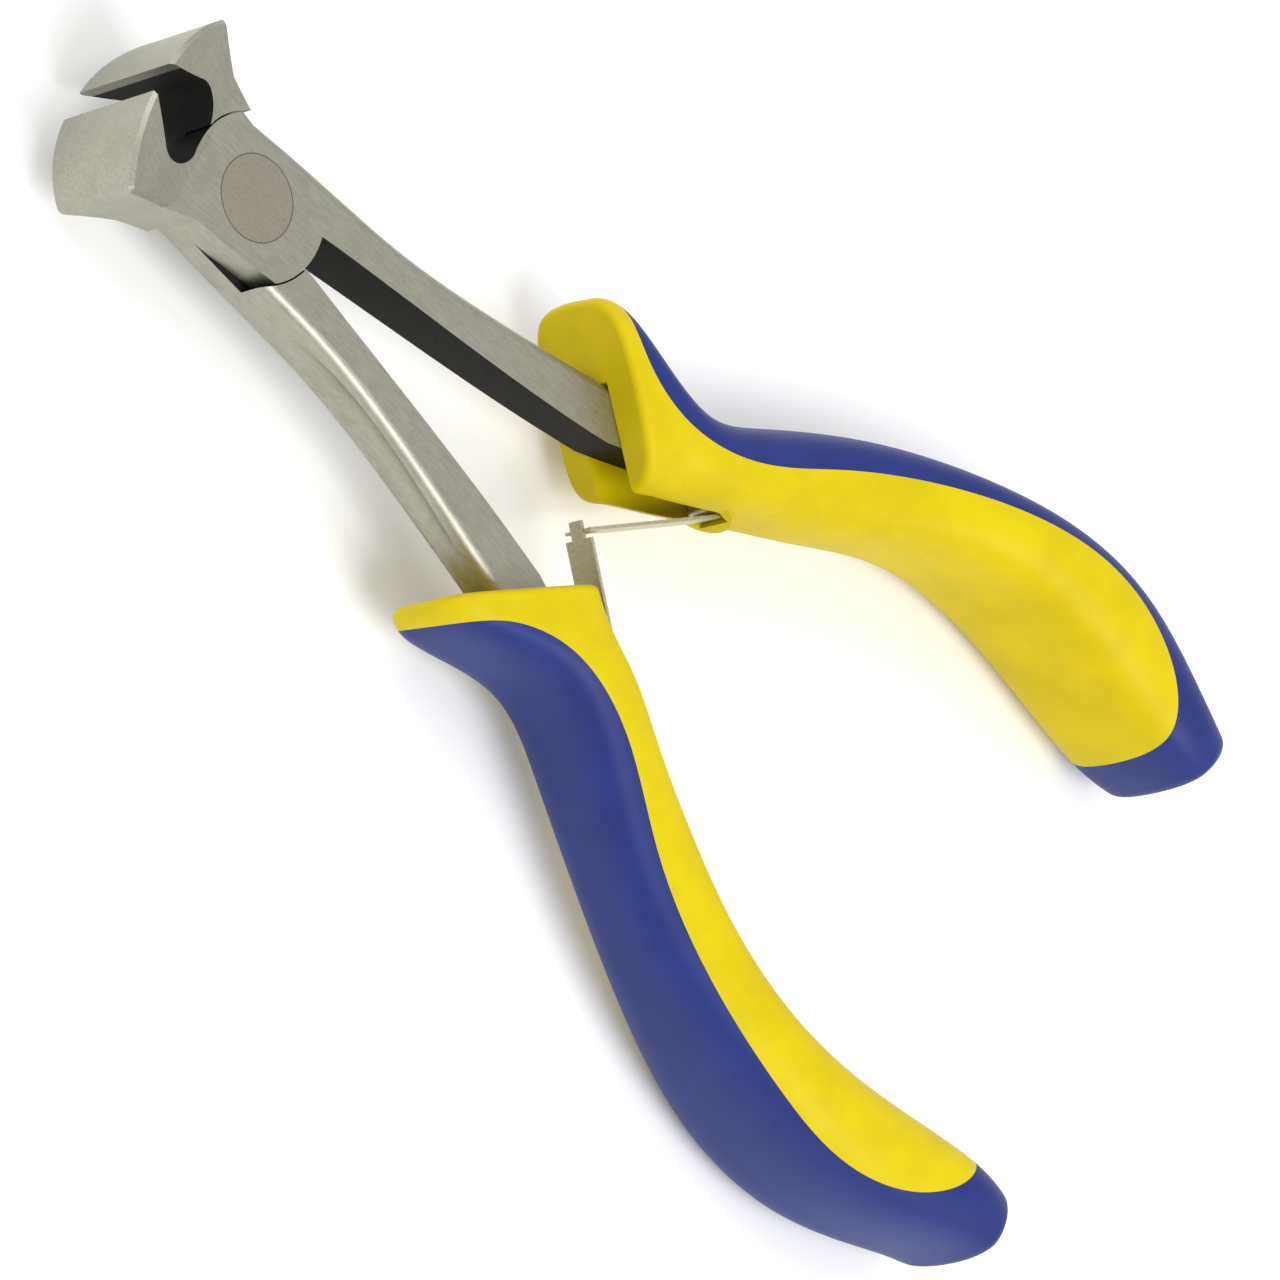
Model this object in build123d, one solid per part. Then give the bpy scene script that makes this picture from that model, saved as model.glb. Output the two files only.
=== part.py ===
"""Small end-cutting nipper for electronics work: two forged levers, a flush rivet, grips and leaf springs.

Frame: millimetres, +X from the pivot towards the jaws, +Z along the pivot axis.
The origin is on the pivot axis, at the centre of the joint's flat underside.
The jaws stand sprung open. Lever A has its jaw at +Y and its handle at -Y.
Lever B is the same forging turned over, half a turn about the X axis through the joint's mid plane.
Every piece is first built about that mid plane and then raised by half the joint's thickness.
"""

import os
from math import atan2, cos, degrees, hypot, pi, radians, sin

from build123d import *

# Joint
JOINT_THICKNESS = 5.8
BOSS_RADIUS = 7.1
SHOULDER_CLEARANCE = 0.15
PLATE_GAP = 0.04

# Rivet
RIVET_SHANK_RADIUS = 2.6
RIVET_FACE_RADIUS = 3.65
RIVET_CONE_HEIGHT = 1.2
RIVET_CLEARANCE = 0.04

# Jaws, in the sprung-open position
OPEN_HALF_ANGLE = 5.8
EDGE_RADIUS = 14.3
FLARE_START_X = 6.3
FLARE_SLOPE = 0.43
THROAT_DEPTH_Y = 3.8
FRONT_BEVEL = 0.4
FRONT_EDGE_LEAST_X = 12.0
FRONT_EDGE_LEAST_Y = 3.5
PROFILE_END_X = 16.0
PROFILE_REACH = 40.0

# Arms and tangs
ARM_HALF_HEIGHT = 2.1
ARM_TAPER_START_X = -9.0
ARM_TAPER_END_X = -38.0
TANG_END_X = -62.0
ARM_EDGE_ROUND = 0.9
ARM_EDGE_LEAST_LENGTH = 10.0
OUTER_EDGE_SLOPE = 0.26
OUTER_EDGE_OFFSET = 1.0
OUTER_EDGE_LEAST_HEIGHT = 1.9
GROOVE_RADIUS = 2.6
GROOVE_DEPTH = 0.55

# Grips
GRIP_END_ROUND = 1.5
GRIP_FRONT_ROUND = 0.7
SECTION_POINTS = 16
TANG_CLEARANCE = 0.06

# Return springs
LEAF_THICKNESS = 0.3
LEAF_WIDTH = 3.2
TONGUE_WIDTH = 1.5
TONGUE_PAST_CROSSING = 0.9
SHOULDER_BEFORE_CROSSING = 0.68
FORK_SLOT_WIDTH = 1.9
FORK_PAST_CROSSING = 0.0
FORK_SLOT_BEFORE_CROSSING = 1.8
CROSSING_X = -42.6
PIN_X = -52.95
PIN_OUT = 10.9
PIN_RADIUS = 0.6
PIN_HALF_LENGTH = 2.5
PIN_CLEARANCE = 0.05
CHANNEL_HALF_WIDTH = 2.15
CHANNEL_END_X = -52.0
COLLAR_RADIUS = 3.1
COLLAR_OUT = 10.1
COLLAR_HEIGHT = 4.0
CHANNEL_FLOOR_OUT = 11.4
EYE_POCKET_HALF_WIDTH = 1.75
EYE_POCKET_END_X = -54.15
EYE_POCKET_OUT = (9.7, 12.2)
LEAF_CUT_LENGTH = 10.0
LEAF_CUT_DEPTH = 2.0

JOINT_HALF = JOINT_THICKNESS / 2
TALL = 12.0
EDGE_TIP = (
    EDGE_RADIUS * cos(radians(OPEN_HALF_ANGLE)),
    EDGE_RADIUS * sin(radians(OPEN_HALF_ANGLE)),
)

# Handle outlines as (x, distance outwards from the X axis)
ARM_INNER = [(-7.0, 1.7), (-20.0, 3.65), (-30.0, 5.2), (-40.0, 7.15)]
ARM_OUTER = [(4.7, 5.2), (-4.0, 5.8), (-13.0, 6.3), (-24.0, 8.2), (-40.0, 12.2)]
TANG_INNER = [(-40.0, 7.15), (-49.0, 11.2), (TANG_END_X, 18.6)]
TANG_OUTER = [(-40.0, 12.2), (-50.0, 15.0), (TANG_END_X, 21.4)]

# Grip sections from the finger guard to the end: inner point, outer point, half height,
# squareness above the mid plane and squareness below it
GRIP_SECTIONS = [
    ((-44.4, 5.1), (-31.9, 16.3), 5.8, 3.2, 4.6),
    ((-46.8, 6.5), (-36.0, 17.2), 5.9, 3.0, 3.6),
    ((-51.0, 8.8), (-45.0, 15.2), 6.1, 2.8, 2.8),
    ((-56.4, 12.0), (-52.0, 18.7), 5.7, 2.8, 2.8),
    ((-63.0, 15.6), (-60.9, 25.0), 5.3, 2.8, 2.8),
    ((-70.8, 20.3), (-71.0, 30.0), 6.3, 2.8, 2.8),
    ((-80.0, 23.6), (-81.8, 33.0), 7.9, 2.8, 2.8),
    ((-90.0, 23.4), (-92.2, 33.5), 8.2, 2.8, 2.8),
    ((-99.3, 21.9), (-101.2, 30.9), 7.6, 2.8, 2.8),
    ((-106.9, 21.8), (-108.2, 28.6), 6.1, 2.8, 2.8),
]

# The seam between the hard core and the soft skin at mid height, and its lean per unit of height
SEAM_LEAN = 0.1
GRIP_SEAM = [
    (-29.8, 21.6), (-33.2, 18.0), (-37.9, 14.1), (-44.5, 12.3), (-51.0, 14.0), (-60.0, 20.4),
    (-70.0, 26.6), (-80.0, 30.4), (-90.0, 31.4), (-97.3, 28.6), (-100.9, 24.5), (-99.6, 16.0),
]


def outward(points, side=-1):
    """Turns (x, distance outwards) into points on lever A's handle side."""
    return [(x, side * out) for x, out in points]


def block(face, low, high):
    """Extrudes a face drawn on the mid plane from one height to another."""
    return extrude(Pos(0, 0, low) * face, amount=high - low)


def outline(*edges):
    """Makes a face from edges that run round it in order."""
    return make_face(Curve() + list(edges))


def jaw_plan():
    """Lever A's jaw and neck: throat hook, relief, cutting edge, front face and back."""
    root = (6.95, 1.4)
    hook_end = (10.5, 3.45)
    front_end = (11.5, 8.95)
    corner = (11.14, 9.19)
    back_start = (10.71, 9.12)
    neck_end = (3.4, 5.5)
    disc_end = (-5.2, 4.8)
    return outline(
        Line((0, 0), root),
        Spline(root, (7.5, 2.8), (8.9, THROAT_DEPTH_Y), hook_end),
        Spline(hook_end, (11.9, 2.65), EDGE_TIP),
        ThreePointArc(EDGE_TIP, (13.5, 5.2), front_end),
        ThreePointArc(front_end, corner, back_start),
        Spline(back_start, (7.7, 7.35), neck_end),
        Line(neck_end, disc_end),
        Line(disc_end, (0, 0)),
    )


def arm_plan(clearance=0.0):
    """Lever A's arm and tang, from inside the joint to the tang's end."""
    inner = outward([(x, out - clearance) for x, out in ARM_INNER])
    outer = outward([(x, out + clearance) for x, out in ARM_OUTER])
    tang_inner = outward([(x, out - clearance) for x, out in TANG_INNER])
    tang_outer = outward([(x, out + clearance) for x, out in TANG_OUTER])
    return outline(
        Line((0, 0), inner[0]),
        Spline(*inner),
        Spline(*tang_inner),
        Line(tang_inner[-1], tang_outer[-1]),
        Spline(*tang_outer[::-1]),
        Spline(*outer[::-1]),
        Line(outer[0], (0, 0)),
    )


def joint_disc():
    """Lever A's joint plate, cut along the head's sides and clear of the arm's rounded edge."""
    keep = Polygon(
        (-9, -4.9), (1.5, -4.5), (4.7, -5.15), (9, -5.0), (9, 5.8), (0, 5.45), (-4, 4.95), (-9, 4.4),
        align=None,
    )
    return Circle(BOSS_RADIUS) & keep


def side_profile():
    """Heights seen from the side: tapered arms, flat joint, flared jaws."""
    tip_half = JOINT_HALF + FLARE_SLOPE * (PROFILE_END_X - FLARE_START_X)
    upper = [
        (TANG_END_X - 2, ARM_HALF_HEIGHT),
        (ARM_TAPER_END_X, ARM_HALF_HEIGHT),
        (ARM_TAPER_START_X, JOINT_HALF),
        (FLARE_START_X, JOINT_HALF),
        (PROFILE_END_X, tip_half),
    ]
    lower = [(x, -z) for x, z in reversed(upper)]
    face = Plane.XZ * Polygon(*upper, *lower, align=None)
    return extrude(face, amount=PROFILE_REACH, both=True)


def rivet(clearance=0.0):
    """Flush rivet: a shank with a conical head let into each plate."""
    shank = RIVET_SHANK_RADIUS + clearance
    face = RIVET_FACE_RADIUS + clearance
    cone_z = JOINT_HALF - RIVET_CONE_HEIGHT
    half = Polygon(
        (0, -JOINT_HALF), (face, -JOINT_HALF), (shank, -cone_z),
        (shank, cone_z), (face, JOINT_HALF), (0, JOINT_HALF), align=None,
    )
    return revolve(Plane.XZ * half, Axis.Z)


def arm_groove():
    """Shallow fuller along the arm's outer side, fading out towards the joint."""
    offset = GROOVE_RADIUS - GROOVE_DEPTH
    path_points = [
        (-10.5, 6.55 + offset),
        (-16.0, 6.6 + offset),
        (-24.0, 8.2 + offset),
        (-41.0, 12.5 + offset),
    ]
    path = Spline(*outward(path_points))
    start = Plane(origin=path @ 0, z_dir=path % 0)
    return sweep(start * Circle(GROOVE_RADIUS), path=path)


def bevelled_front(body):
    """The jaw with narrow bevels where its front face meets the flared facets."""
    front_edges = body.edges().filter_by(
        lambda edge: (edge @ 0.5).X > FRONT_EDGE_LEAST_X
        and (edge @ 0.5).Y > FRONT_EDGE_LEAST_Y
        and abs((edge @ 0.5).Z) > JOINT_HALF
    )
    return chamfer(front_edges, FRONT_BEVEL)


def rounded_arm():
    """The tapered arm and tang alone, with its long outer edges rounded."""
    arm = block(arm_plan(), -TALL, TALL) & side_profile()
    outer_edges = arm.edges().filter_by(
        lambda edge: (edge @ 0.5).Y < OUTER_EDGE_SLOPE * (edge @ 0.5).X - OUTER_EDGE_OFFSET
        and abs((edge @ 0.5).Z) > OUTER_EDGE_LEAST_HEIGHT
        and edge.length > ARM_EDGE_LEAST_LENGTH
    )
    return fillet(outer_edges, ARM_EDGE_ROUND)


def lever():
    """Lever A: near joint plate, and full-height jaw and arm clear of the other lever's plate."""
    jaw = jaw_plan()
    swept = Circle(BOSS_RADIUS + SHOULDER_CLEARANCE)
    near = joint_disc() + jaw
    far = jaw - swept
    head = block(near, PLATE_GAP / 2, TALL) + block(far, -TALL, PLATE_GAP / 2)
    head = bevelled_front(head & side_profile())
    arm = rounded_arm() - block(swept, -TALL, PLATE_GAP / 2)
    return head + arm - arm_groove() - rivet()


def section_face(inner, outer, half_height, squareness_above, squareness_below):
    """A rounded, slightly square grip section standing on the line from inner to outer."""
    middle = ((inner[0] + outer[0]) / 2, -(inner[1] + outer[1]) / 2, 0)
    across = (outer[0] - inner[0], inner[1] - outer[1], 0)
    half_width = hypot(across[0], across[1]) / 2
    points = []
    for step in range(SECTION_POINTS):
        angle = 2 * pi * (step + 0.5) / SECTION_POINTS
        power = 2 / (squareness_above if sin(angle) > 0 else squareness_below)
        width = half_width * abs(cos(angle)) ** power
        height = half_height * abs(sin(angle)) ** power
        points.append((width if cos(angle) > 0 else -width, height if sin(angle) > 0 else -height))
    plane = Plane(origin=middle, x_dir=across, z_dir=(across[1], -across[0], 0))
    return plane * make_face(Spline(*points, periodic=True))


def grip_body():
    """Handle A's whole grip before it is split, with a rounded front rim and end."""
    body = loft([section_face(*section) for section in GRIP_SECTIONS])
    front_rim = body.faces().filter_by(GeomType.PLANE).sort_by(Axis.X)[-1].edges()
    body = fillet(front_rim, GRIP_FRONT_ROUND)
    end_rim = body.faces().filter_by(GeomType.PLANE).sort_by(Axis.X)[0].edges()
    return fillet(end_rim, GRIP_END_ROUND)


def skin_region():
    """Everything outwards of the leaning seam and behind the core's end."""
    seam = Spline(*outward(GRIP_SEAM))
    far_side = outward([(-101, 10), (-125, 10), (-125, 60), (-20, 60), (-20, 21)])
    start, end = outward([GRIP_SEAM[-1], GRIP_SEAM[0]])
    face = make_face(Curve() + [seam, Polyline(start, *far_side, end)])
    lean = Vector(0, SEAM_LEAN, 1)
    return extrude(face, amount=TALL * lean.length, dir=lean, both=True)


def spring_collar():
    """Raised round rim at the rear end of the spring channel."""
    rim = Cylinder(COLLAR_RADIUS, COLLAR_HEIGHT, rotation=(90, 0, 0))
    return Pos(CHANNEL_END_X, -COLLAR_OUT - COLLAR_HEIGHT / 2, 0) * rim


def spring_channel():
    """Open channel along the core's inner side, rounded at its rear rim and deeper behind it."""
    mouth = outward([
        (-30, 0), (CHANNEL_END_X, 0), (CHANNEL_END_X, CHANNEL_FLOOR_OUT), (-49, 11.2), (-40, 7.1), (-30, 5),
    ])
    slot = block(Polygon(*mouth, align=None), -CHANNEL_HALF_WIDTH, CHANNEL_HALF_WIDTH)
    round_end = Cylinder(CHANNEL_HALF_WIDTH, CHANNEL_FLOOR_OUT, rotation=(90, 0, 0))
    slot += Pos(CHANNEL_END_X, -CHANNEL_FLOOR_OUT / 2, 0) * round_end
    low, high = EYE_POCKET_OUT
    pocket = outward([(-50, low), (EYE_POCKET_END_X, low), (EYE_POCKET_END_X, high), (-50, high)])
    return slot + block(Polygon(*pocket, align=None), -EYE_POCKET_HALF_WIDTH, EYE_POCKET_HALF_WIDTH)


def grip_pieces():
    """Handle A's hard core, with its tang pocket and spring channel, and its soft skin."""
    body = grip_body()
    region = skin_region()
    skin = body & region
    core = body - region + spring_collar()
    pocket_half = ARM_HALF_HEIGHT + TANG_CLEARANCE
    core -= block(arm_plan(TANG_CLEARANCE), -pocket_half, pocket_half)
    core -= spring_channel()
    core -= spring_pin()
    skin -= block(arm_plan(TANG_CLEARANCE), -pocket_half, pocket_half)
    return core, skin


def spring_pin():
    """Handle A's pin across the channel, which the leaf's eye turns on."""
    return Pos(PIN_X, -PIN_OUT, 0) * Cylinder(PIN_RADIUS, 2 * PIN_HALF_LENGTH)


def leaf(past_crossing):
    """Handle A's plain leaf: an eye round the pin and a strip to just past the crossing."""
    bore = PIN_RADIUS + PIN_CLEARANCE
    eye_mean = bore + LEAF_THICKNESS / 2
    to_crossing = hypot(CROSSING_X - PIN_X, PIN_OUT)
    angle = degrees(atan2(PIN_OUT, CROSSING_X - PIN_X) - atan2(eye_mean, to_crossing))
    strip_length = (to_crossing**2 - eye_mean**2) ** 0.5
    eye = Circle(bore + LEAF_THICKNESS) - Circle(bore)
    strip = Polygon(
        (0, eye_mean - LEAF_THICKNESS / 2),
        (strip_length + past_crossing, eye_mean - LEAF_THICKNESS / 2),
        (strip_length + past_crossing, eye_mean + LEAF_THICKNESS / 2),
        (0, eye_mean + LEAF_THICKNESS / 2),
        align=None,
    )
    shape = block(eye + strip, -LEAF_WIDTH / 2, LEAF_WIDTH / 2)
    return shape, strip_length, Pos(PIN_X, -PIN_OUT, 0) * Rot(0, 0, angle)


def tongued_leaf():
    """A leaf whose end narrows to a tongue."""
    shape, strip_length, place = leaf(TONGUE_PAST_CROSSING)
    shoulder = strip_length - SHOULDER_BEFORE_CROSSING
    side_width = LEAF_WIDTH - TONGUE_WIDTH
    for side in (-1, 1):
        waste = Box(
            LEAF_CUT_LENGTH, LEAF_CUT_DEPTH, side_width, align=(Align.MIN, Align.CENTER, Align.CENTER)
        )
        shape -= Pos(shoulder, PIN_RADIUS, side * LEAF_WIDTH / 2) * waste
    return place * shape


def forked_leaf():
    """A leaf whose end is a fork that the tongue runs in."""
    shape, strip_length, place = leaf(FORK_PAST_CROSSING)
    root = strip_length - FORK_SLOT_BEFORE_CROSSING
    waste = Box(
        LEAF_CUT_LENGTH, LEAF_CUT_DEPTH, FORK_SLOT_WIDTH, align=(Align.MIN, Align.CENTER, Align.CENTER)
    )
    return place * (shape - Pos(root, PIN_RADIUS, 0) * waste)


def turned_over(shape):
    """The same shape on the other lever."""
    return Rot(180, 0, 0) * shape


def write(name, shape):
    """Raises a piece so that the joint's underside is at zero height, and writes it."""
    placed = Pos(0, 0, JOINT_HALF) * shape
    placed.label = name
    export_step(placed, f"parts/{name}.step")


def main():
    os.makedirs("parts", exist_ok=True)
    lever_a = lever()
    core, skin = grip_pieces()
    pin = spring_pin()
    write("lever_a", lever_a)
    write("lever_b", turned_over(lever_a) - rivet(RIVET_CLEARANCE))
    write("pivot_rivet", rivet())
    write("grip_core_a", core)
    write("grip_core_b", turned_over(core))
    write("grip_skin_a", skin)
    write("grip_skin_b", turned_over(skin))
    write("spring_pin_a", pin)
    write("spring_pin_b", turned_over(pin))
    write("leaf_spring_forked", forked_leaf())
    write("leaf_spring_tongued", turned_over(tongued_leaf()))


main()
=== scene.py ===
from math import radians

import bpy
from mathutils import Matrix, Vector


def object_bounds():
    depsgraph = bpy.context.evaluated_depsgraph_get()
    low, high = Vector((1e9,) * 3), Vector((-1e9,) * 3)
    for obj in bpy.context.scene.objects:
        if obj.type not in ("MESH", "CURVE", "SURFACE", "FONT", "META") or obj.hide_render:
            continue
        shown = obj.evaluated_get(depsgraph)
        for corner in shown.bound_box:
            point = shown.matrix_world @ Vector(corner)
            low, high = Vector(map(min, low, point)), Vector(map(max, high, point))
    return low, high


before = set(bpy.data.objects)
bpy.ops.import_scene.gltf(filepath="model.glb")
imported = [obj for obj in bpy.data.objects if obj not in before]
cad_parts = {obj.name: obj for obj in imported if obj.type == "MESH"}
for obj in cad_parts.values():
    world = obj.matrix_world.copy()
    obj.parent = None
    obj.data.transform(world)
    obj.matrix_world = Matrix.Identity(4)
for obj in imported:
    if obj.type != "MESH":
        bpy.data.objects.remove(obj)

MM = 0.001
JOINT_MID_Z = 2.9 * MM

# The steel has black oxide in zones, and the floor of the joint recess is painted dark as shade. Each pair
# is where a zone starts to show, and where it is full.
# Lengths are from the pivot axis. Facings are components of the surface normal.
UPRIGHT_FACING = (0.55, 0.4)
LEVEL_FACING = (0.6, 0.8)
ARM_INNER_FACING = (0.72, 0.82)
ARM_INNER_START_X = (-6.2 * MM, -6.9 * MM)
THROAT_HALF_WIDTH = (4.25 * MM, 4.1 * MM)
THROAT_START_X = (4.4 * MM, 4.9 * MM)
HOOK_END_X = (11.0 * MM, 10.9 * MM)
RELIEF_FACING = (-0.3, -0.4)
RELIEF_END_X = (13.2 * MM, 13.05 * MM)
SHOULDER_FACING = (0.25, 0.4)
SHOULDER_RADIUS = (7.6 * MM, 7.45 * MM)
SHOULDER_END_X = (-2.6 * MM, -3.2 * MM)
# Recess floor: painted shade at the joint's mid-plane, not oxide
RECESS_RADIUS = (7.45 * MM, 7.3 * MM)
RECESS_DEPTH = (0.5 * MM, 0.3 * MM)

# The dark line round the rivet's face
RING_INNER_RADIUS = (3.62 * MM, 3.66 * MM)
RING_OUTER_RADIUS = (3.78 * MM, 3.72 * MM)
RING_STRENGTH = 0.7

# Noise scales, in cells per metre
FINE_GRAIN = 5200
GRINDING_LINES = 2600
STEEL_CLOUD = 420
STEEL_SPECKS = 4200
PLATING_SPECKLE = 4800
PLASTIC_CLOUD = 170
PLASTIC_GRAIN = 6500
PLASTIC_SCRATCHES = 1100

# Stage and lights: offsets in metres from the middle of the tool, sizes in metres, powers in watts
FLOOR_HALF_WIDTH = 3.0
KEY_OFFSET = (-0.35, 0.45, 0.85)
KEY_SIZE = 0.7
KEY_POWER = 7
FILL_OFFSET = (0.8, -0.3, 0.6)
FILL_SIZE = 0.9
FILL_POWER = 4
SKY_STRENGTH = 0.8

# Camera: place in millimetres, angles in degrees about X, Y and Z
CAMERA_PLACE = (273.742, 373.236, 546.8)
CAMERA_ANGLES = (11.8702, -41.0166, -149.1565)
CAMERA_SENSOR = 36
CAMERA_LENS = 247.1
CAMERA_NEAREST = 0.05
CAMERA_SHIFT = (-0.0230, -0.0097)


def plain(box):
    """A box as lists of numbers."""
    return [[float(v) for v in corner] for corner in box]


CAD_BOX = plain(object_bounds())
LOW, HIGH = (Vector(corner) for corner in CAD_BOX)
CENTRE = (LOW + HIGH) / 2


# ---------- node helpers ----------

class Nodes:
    """A material, with short ways to add and link its shader nodes."""

    def __init__(self, name):
        self.material = bpy.data.materials.new(name)
        self.material.use_nodes = True
        self.tree = self.material.node_tree
        self.shader = self.tree.nodes["Principled BSDF"]
        coordinate = self.add("ShaderNodeTexCoord")
        self.position = coordinate.outputs["Object"]
        self.normal = coordinate.outputs["Normal"]

    def add(self, kind, **settings):
        node = self.tree.nodes.new(kind)
        for key, value in settings.items():
            setattr(node, key, value)
        return node

    def put(self, value, socket):
        """Links a socket's output, or sets a plain value."""
        if isinstance(value, bpy.types.NodeSocket):
            self.tree.links.new(value, socket)
        else:
            socket.default_value = value

    def math(self, operation, a, b=0.0, c=0.0):
        node = self.add("ShaderNodeMath", operation=operation)
        for socket, value in zip(node.inputs, (a, b, c)):
            self.put(value, socket)
        return node.outputs[0]

    def both(self, *masks):
        """The product of masks."""
        result = masks[0]
        for mask in masks[1:]:
            result = self.math("MULTIPLY", result, mask)
        return result

    def either(self, *masks):
        """The largest of masks."""
        result = masks[0]
        for mask in masks[1:]:
            result = self.math("MAXIMUM", result, mask)
        return result

    def size_of(self, value):
        return self.math("ABSOLUTE", value)

    def step(self, value, low, high):
        """0 at low, 1 at high, smooth between."""
        node = self.add("ShaderNodeMapRange", interpolation_type="SMOOTHSTEP")
        self.put(value, node.inputs["Value"])
        node.inputs["From Min"].default_value = low
        node.inputs["From Max"].default_value = high
        return node.outputs["Result"]

    def xyz(self, vector):
        node = self.add("ShaderNodeSeparateXYZ")
        self.put(vector, node.inputs[0])
        return node.outputs

    def noise(self, scale, detail=3.0, stretch=(1, 1, 1), rough=0.55):
        mapping = self.add("ShaderNodeMapping")
        self.put(self.position, mapping.inputs["Vector"])
        mapping.inputs["Scale"].default_value = stretch
        node = self.add("ShaderNodeTexNoise")
        self.put(mapping.outputs[0], node.inputs["Vector"])
        node.inputs["Scale"].default_value = scale
        node.inputs["Detail"].default_value = detail
        node.inputs["Roughness"].default_value = rough
        return node.outputs["Fac"]

    def mix(self, factor, a, b):
        """Colour a where the factor is 0, colour b where it is 1."""
        node = self.add("ShaderNodeMix", data_type="RGBA")
        self.put(factor, node.inputs[0])
        self.put(a, node.inputs[6])
        self.put(b, node.inputs[7])
        return node.outputs[2]

    def set(self, **values):
        """Sets or links inputs of the surface shader."""
        for key, value in values.items():
            self.put(value, self.shader.inputs[key.replace("_", " ")])

    def bump(self, height, strength, distance):
        node = self.add("ShaderNodeBump")
        self.put(height, node.inputs["Height"])
        node.inputs["Strength"].default_value = strength
        node.inputs["Distance"].default_value = distance
        self.put(node.outputs[0], self.shader.inputs["Normal"])


def linear(red, green, blue):
    """An sRGB colour, 0 to 255, as linear RGBA."""
    def one(value):
        value /= 255
        return value / 12.92 if value <= 0.04045 else ((value + 0.055) / 1.055) ** 2.4
    return (one(red), one(green), one(blue), 1.0)


# ---------- materials ----------

def pivot_radius(n):
    """Distance from the pivot axis."""
    x, y, z = n.xyz(n.position)
    return n.math("SQRT", n.math("ADD", n.math("MULTIPLY", x, x), n.math("MULTIPLY", y, y)))


def oxide_and_painted_shade(n, side):
    """1 on a lever's black oxide faces (arm's inner face, jaw throat, joint shoulder) and on the joint
    recess floor, where the dark colour is painted shade.
    """
    x, y, z = n.xyz(n.position)
    normal = n.xyz(n.normal)
    radius = pivot_radius(n)
    facing = n.math("MULTIPLY", normal[1], side)
    upright = n.step(n.size_of(normal[2]), *UPRIGHT_FACING)
    arm = n.both(n.step(facing, *ARM_INNER_FACING), n.step(x, *ARM_INNER_START_X))
    relief = n.both(n.step(facing, *RELIEF_FACING), n.step(x, *RELIEF_END_X))
    throat = n.both(
        upright,
        n.step(n.size_of(y), *THROAT_HALF_WIDTH),
        n.step(x, *THROAT_START_X),
        n.either(relief, n.step(x, *HOOK_END_X)),
    )
    shoulder = n.both(
        upright,
        n.step(radius, *SHOULDER_RADIUS),
        n.step(x, *SHOULDER_END_X),
        n.step(normal[0], *SHOULDER_FACING),
    )
    # Painted shade: the recess floor at the joint's mid-plane is coloured black for the shadow under the
    # other lever's plate
    recess = n.both(
        n.step(radius, *RECESS_RADIUS),
        n.step(n.size_of(n.math("SUBTRACT", z, JOINT_MID_Z)), *RECESS_DEPTH),
        n.step(n.size_of(normal[2]), *LEVEL_FACING),
    )
    return n.either(arm, throat, shoulder, recess)


def steel(name, side):
    """Satin forged steel with black oxide zones and painted shade on the joint recess floor. side is the Y
    sign of the lever's jaw.
    """
    n = Nodes(name)
    dark = oxide_and_painted_shade(n, side)
    radius = pivot_radius(n)
    grain = n.noise(FINE_GRAIN, 3)
    lines = n.noise(GRINDING_LINES, 4, (0.22, 1.6, 1.0), 0.7)
    cloud = n.noise(STEEL_CLOUD, 3)
    speck = n.noise(STEEL_SPECKS, 1)
    ring = n.both(n.step(radius, *RING_INNER_RADIUS), n.step(radius, *RING_OUTER_RADIUS))
    bright = n.mix(n.step(lines, 0.3, 0.7), linear(158, 157, 145), linear(172, 171, 159))
    bright = n.mix(n.math("MULTIPLY", n.step(cloud, 0.4, 0.7), 0.22), bright, linear(144, 139, 121))
    bright = n.mix(n.math("MULTIPLY", n.step(speck, 0.6, 0.72), 0.22), bright, linear(122, 118, 106))
    bright = n.mix(n.math("MULTIPLY", ring, RING_STRENGTH), bright, linear(70, 66, 56))
    # black is the oxide colour, and it is also the painted shade on the joint recess floor
    black = n.mix(n.step(grain, 0.35, 0.7), linear(15, 14, 13), linear(30, 29, 26))
    n.set(
        Base_Color=n.mix(dark, bright, black),
        Metallic=n.math("MULTIPLY_ADD", dark, -0.95, 1.0),
        Specular_IOR_Level=n.math("MULTIPLY_ADD", dark, -0.3, 0.5),
        Roughness=n.math("ADD", n.math("MULTIPLY_ADD", lines, 0.16, 0.40), n.math("MULTIPLY", dark, 0.12)),
    )
    n.bump(n.math("ADD", grain, n.math("MULTIPLY", lines, 0.6)), 0.35, 0.012 * MM)
    return n.material


def simple_steel(name, light, shade, roughness):
    """Bright metal with a fine speckle between two colours."""
    n = Nodes(name)
    speckle = n.noise(PLATING_SPECKLE, 4)
    n.set(
        Base_Color=n.mix(n.step(speckle, 0.3, 0.72), shade, light),
        Metallic=1.0,
        Roughness=n.math("MULTIPLY_ADD", speckle, 0.15, roughness),
    )
    n.bump(speckle, 0.25, 0.01 * MM)
    return n.material


def plastic(name, light, shade, scuff, roughness, specular, grain_depth):
    """Moulded plastic with slow colour variation, fine eroded texture and faint scuffs."""
    n = Nodes(name)
    cloud = n.noise(PLASTIC_CLOUD, 4)
    grain = n.noise(PLASTIC_GRAIN, 3)
    scratches = n.noise(PLASTIC_SCRATCHES, 3, (0.3, 1.0, 1.5), 0.7)
    worn = n.math("MULTIPLY", n.step(scratches, 0.66, 0.74), 0.3)
    n.set(
        Base_Color=n.mix(worn, n.mix(n.step(cloud, 0.3, 0.75), light, shade), scuff),
        Roughness=n.math(
            "ADD", n.math("MULTIPLY_ADD", grain, 0.14, roughness), n.math("MULTIPLY", worn, 0.2)
        ),
        Specular_IOR_Level=specular,
    )
    n.bump(n.math("ADD", grain, n.math("MULTIPLY", cloud, 3.0)), 0.3, grain_depth * MM)
    return n.material


def dress(node, material):
    """Gives a CAD node its one material."""
    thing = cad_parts[node]
    thing.data.materials.clear()
    thing.data.materials.append(material)


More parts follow.
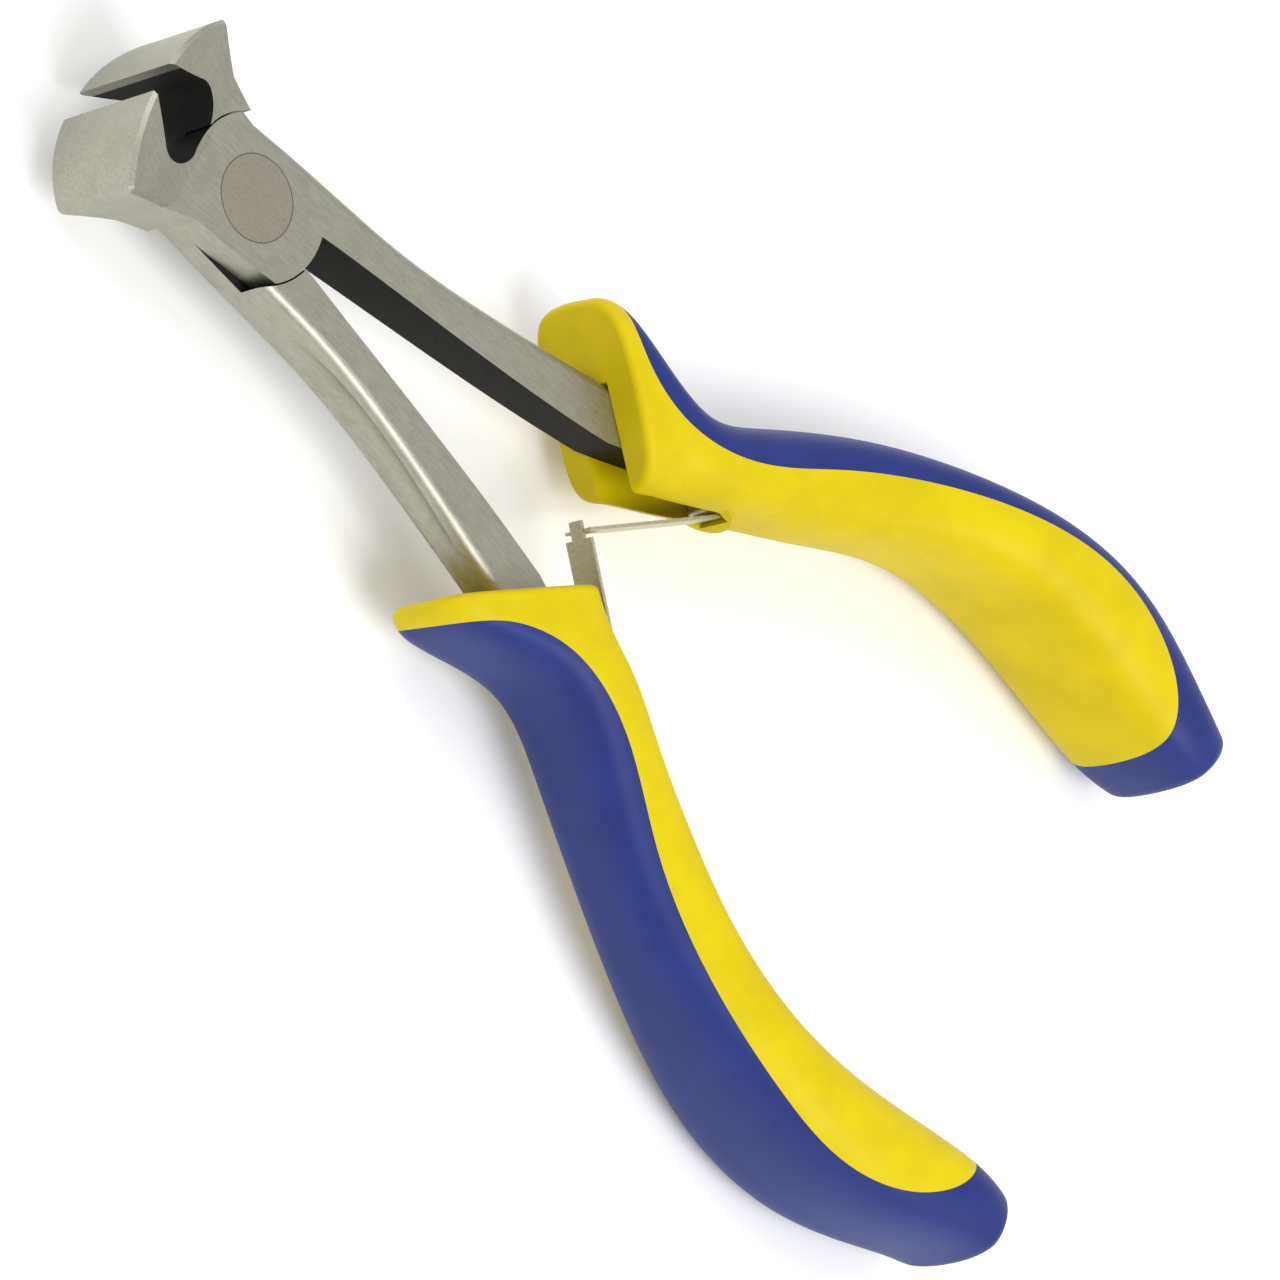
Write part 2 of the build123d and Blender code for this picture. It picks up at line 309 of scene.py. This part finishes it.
YELLOW = plastic(
    "yellow_plastic", linear(205, 184, 0), linear(193, 173, 0), linear(172, 154, 12),
    roughness=0.42, specular=0.16, grain_depth=0.012,
)
BLUE = plastic(
    "blue_rubber", linear(10, 32, 102), linear(14, 38, 112), linear(40, 58, 124),
    roughness=0.44, specular=0.36, grain_depth=0.02,
)
SPRING = simple_steel("spring_strip", linear(205, 200, 172), linear(182, 176, 146), 0.3)
RIVET = simple_steel("rivet_face", linear(164, 159, 145), linear(152, 147, 132), 0.42)

dress("lever_a", steel("steel_a", 1))
dress("lever_b", steel("steel_b", -1))
dress("pivot_rivet", RIVET)
for letter in "ab":
    dress(f"grip_core_{letter}", YELLOW)
    dress(f"grip_skin_{letter}", BLUE)
    dress(f"spring_pin_{letter}", SPRING)
for leaf in ("leaf_spring_forked", "leaf_spring_tongued"):
    dress(leaf, SPRING)


# ---------- stage, lights and camera ----------

def stage_floor():
    """A pale floor at the lowest point of the tool."""
    half = FLOOR_HALF_WIDTH
    corners = [(-half, -half), (half, -half), (half, half), (-half, half)]
    mesh = bpy.data.meshes.new("floor")
    mesh.from_pydata([(x, y, LOW.z) for x, y in corners], [], [(0, 1, 2, 3)])
    floor = bpy.data.objects.new("floor", mesh)
    bpy.context.scene.collection.objects.link(floor)
    n = Nodes("floor_paint")
    n.set(Base_Color=n.mix(n.noise(2), linear(244, 244, 244), linear(248, 248, 248)), Roughness=0.9)
    mesh.materials.append(n.material)


def softbox(name, offset, size, power):
    """A round area light that faces the middle of the tool."""
    data = bpy.data.lights.new(name, "AREA")
    data.shape = "DISK"
    data.size = size
    data.energy = power
    lamp = bpy.data.objects.new(name, data)
    lamp.location = CENTRE + Vector(offset)
    lamp.rotation_euler = (-Vector(offset)).to_track_quat("-Z", "Y").to_euler()
    bpy.context.scene.collection.objects.link(lamp)


def bright_sky():
    """Even white light from all round."""
    world = bpy.data.worlds.new("studio")
    world.use_nodes = True
    background = world.node_tree.nodes["Background"]
    background.inputs[0].default_value = (1, 1, 1, 1)
    background.inputs[1].default_value = SKY_STRENGTH
    bpy.context.scene.world = world


def view_camera():
    """The camera, framed a little off centre."""
    data = bpy.data.cameras.new("camera")
    data.sensor_width = CAMERA_SENSOR
    data.lens = CAMERA_LENS
    data.shift_x, data.shift_y = CAMERA_SHIFT
    data.clip_start = CAMERA_NEAREST
    camera = bpy.data.objects.new("camera", data)
    camera.location = Vector(CAMERA_PLACE) * MM
    camera.rotation_euler = [radians(angle) for angle in CAMERA_ANGLES]
    bpy.context.scene.collection.objects.link(camera)
    return camera


stage_floor()
softbox("key", KEY_OFFSET, KEY_SIZE, KEY_POWER)
softbox("fill", FILL_OFFSET, FILL_SIZE, FILL_POWER)
bright_sky()
bpy.context.scene.camera = view_camera()
bpy.context.scene.view_settings.view_transform = "Standard"
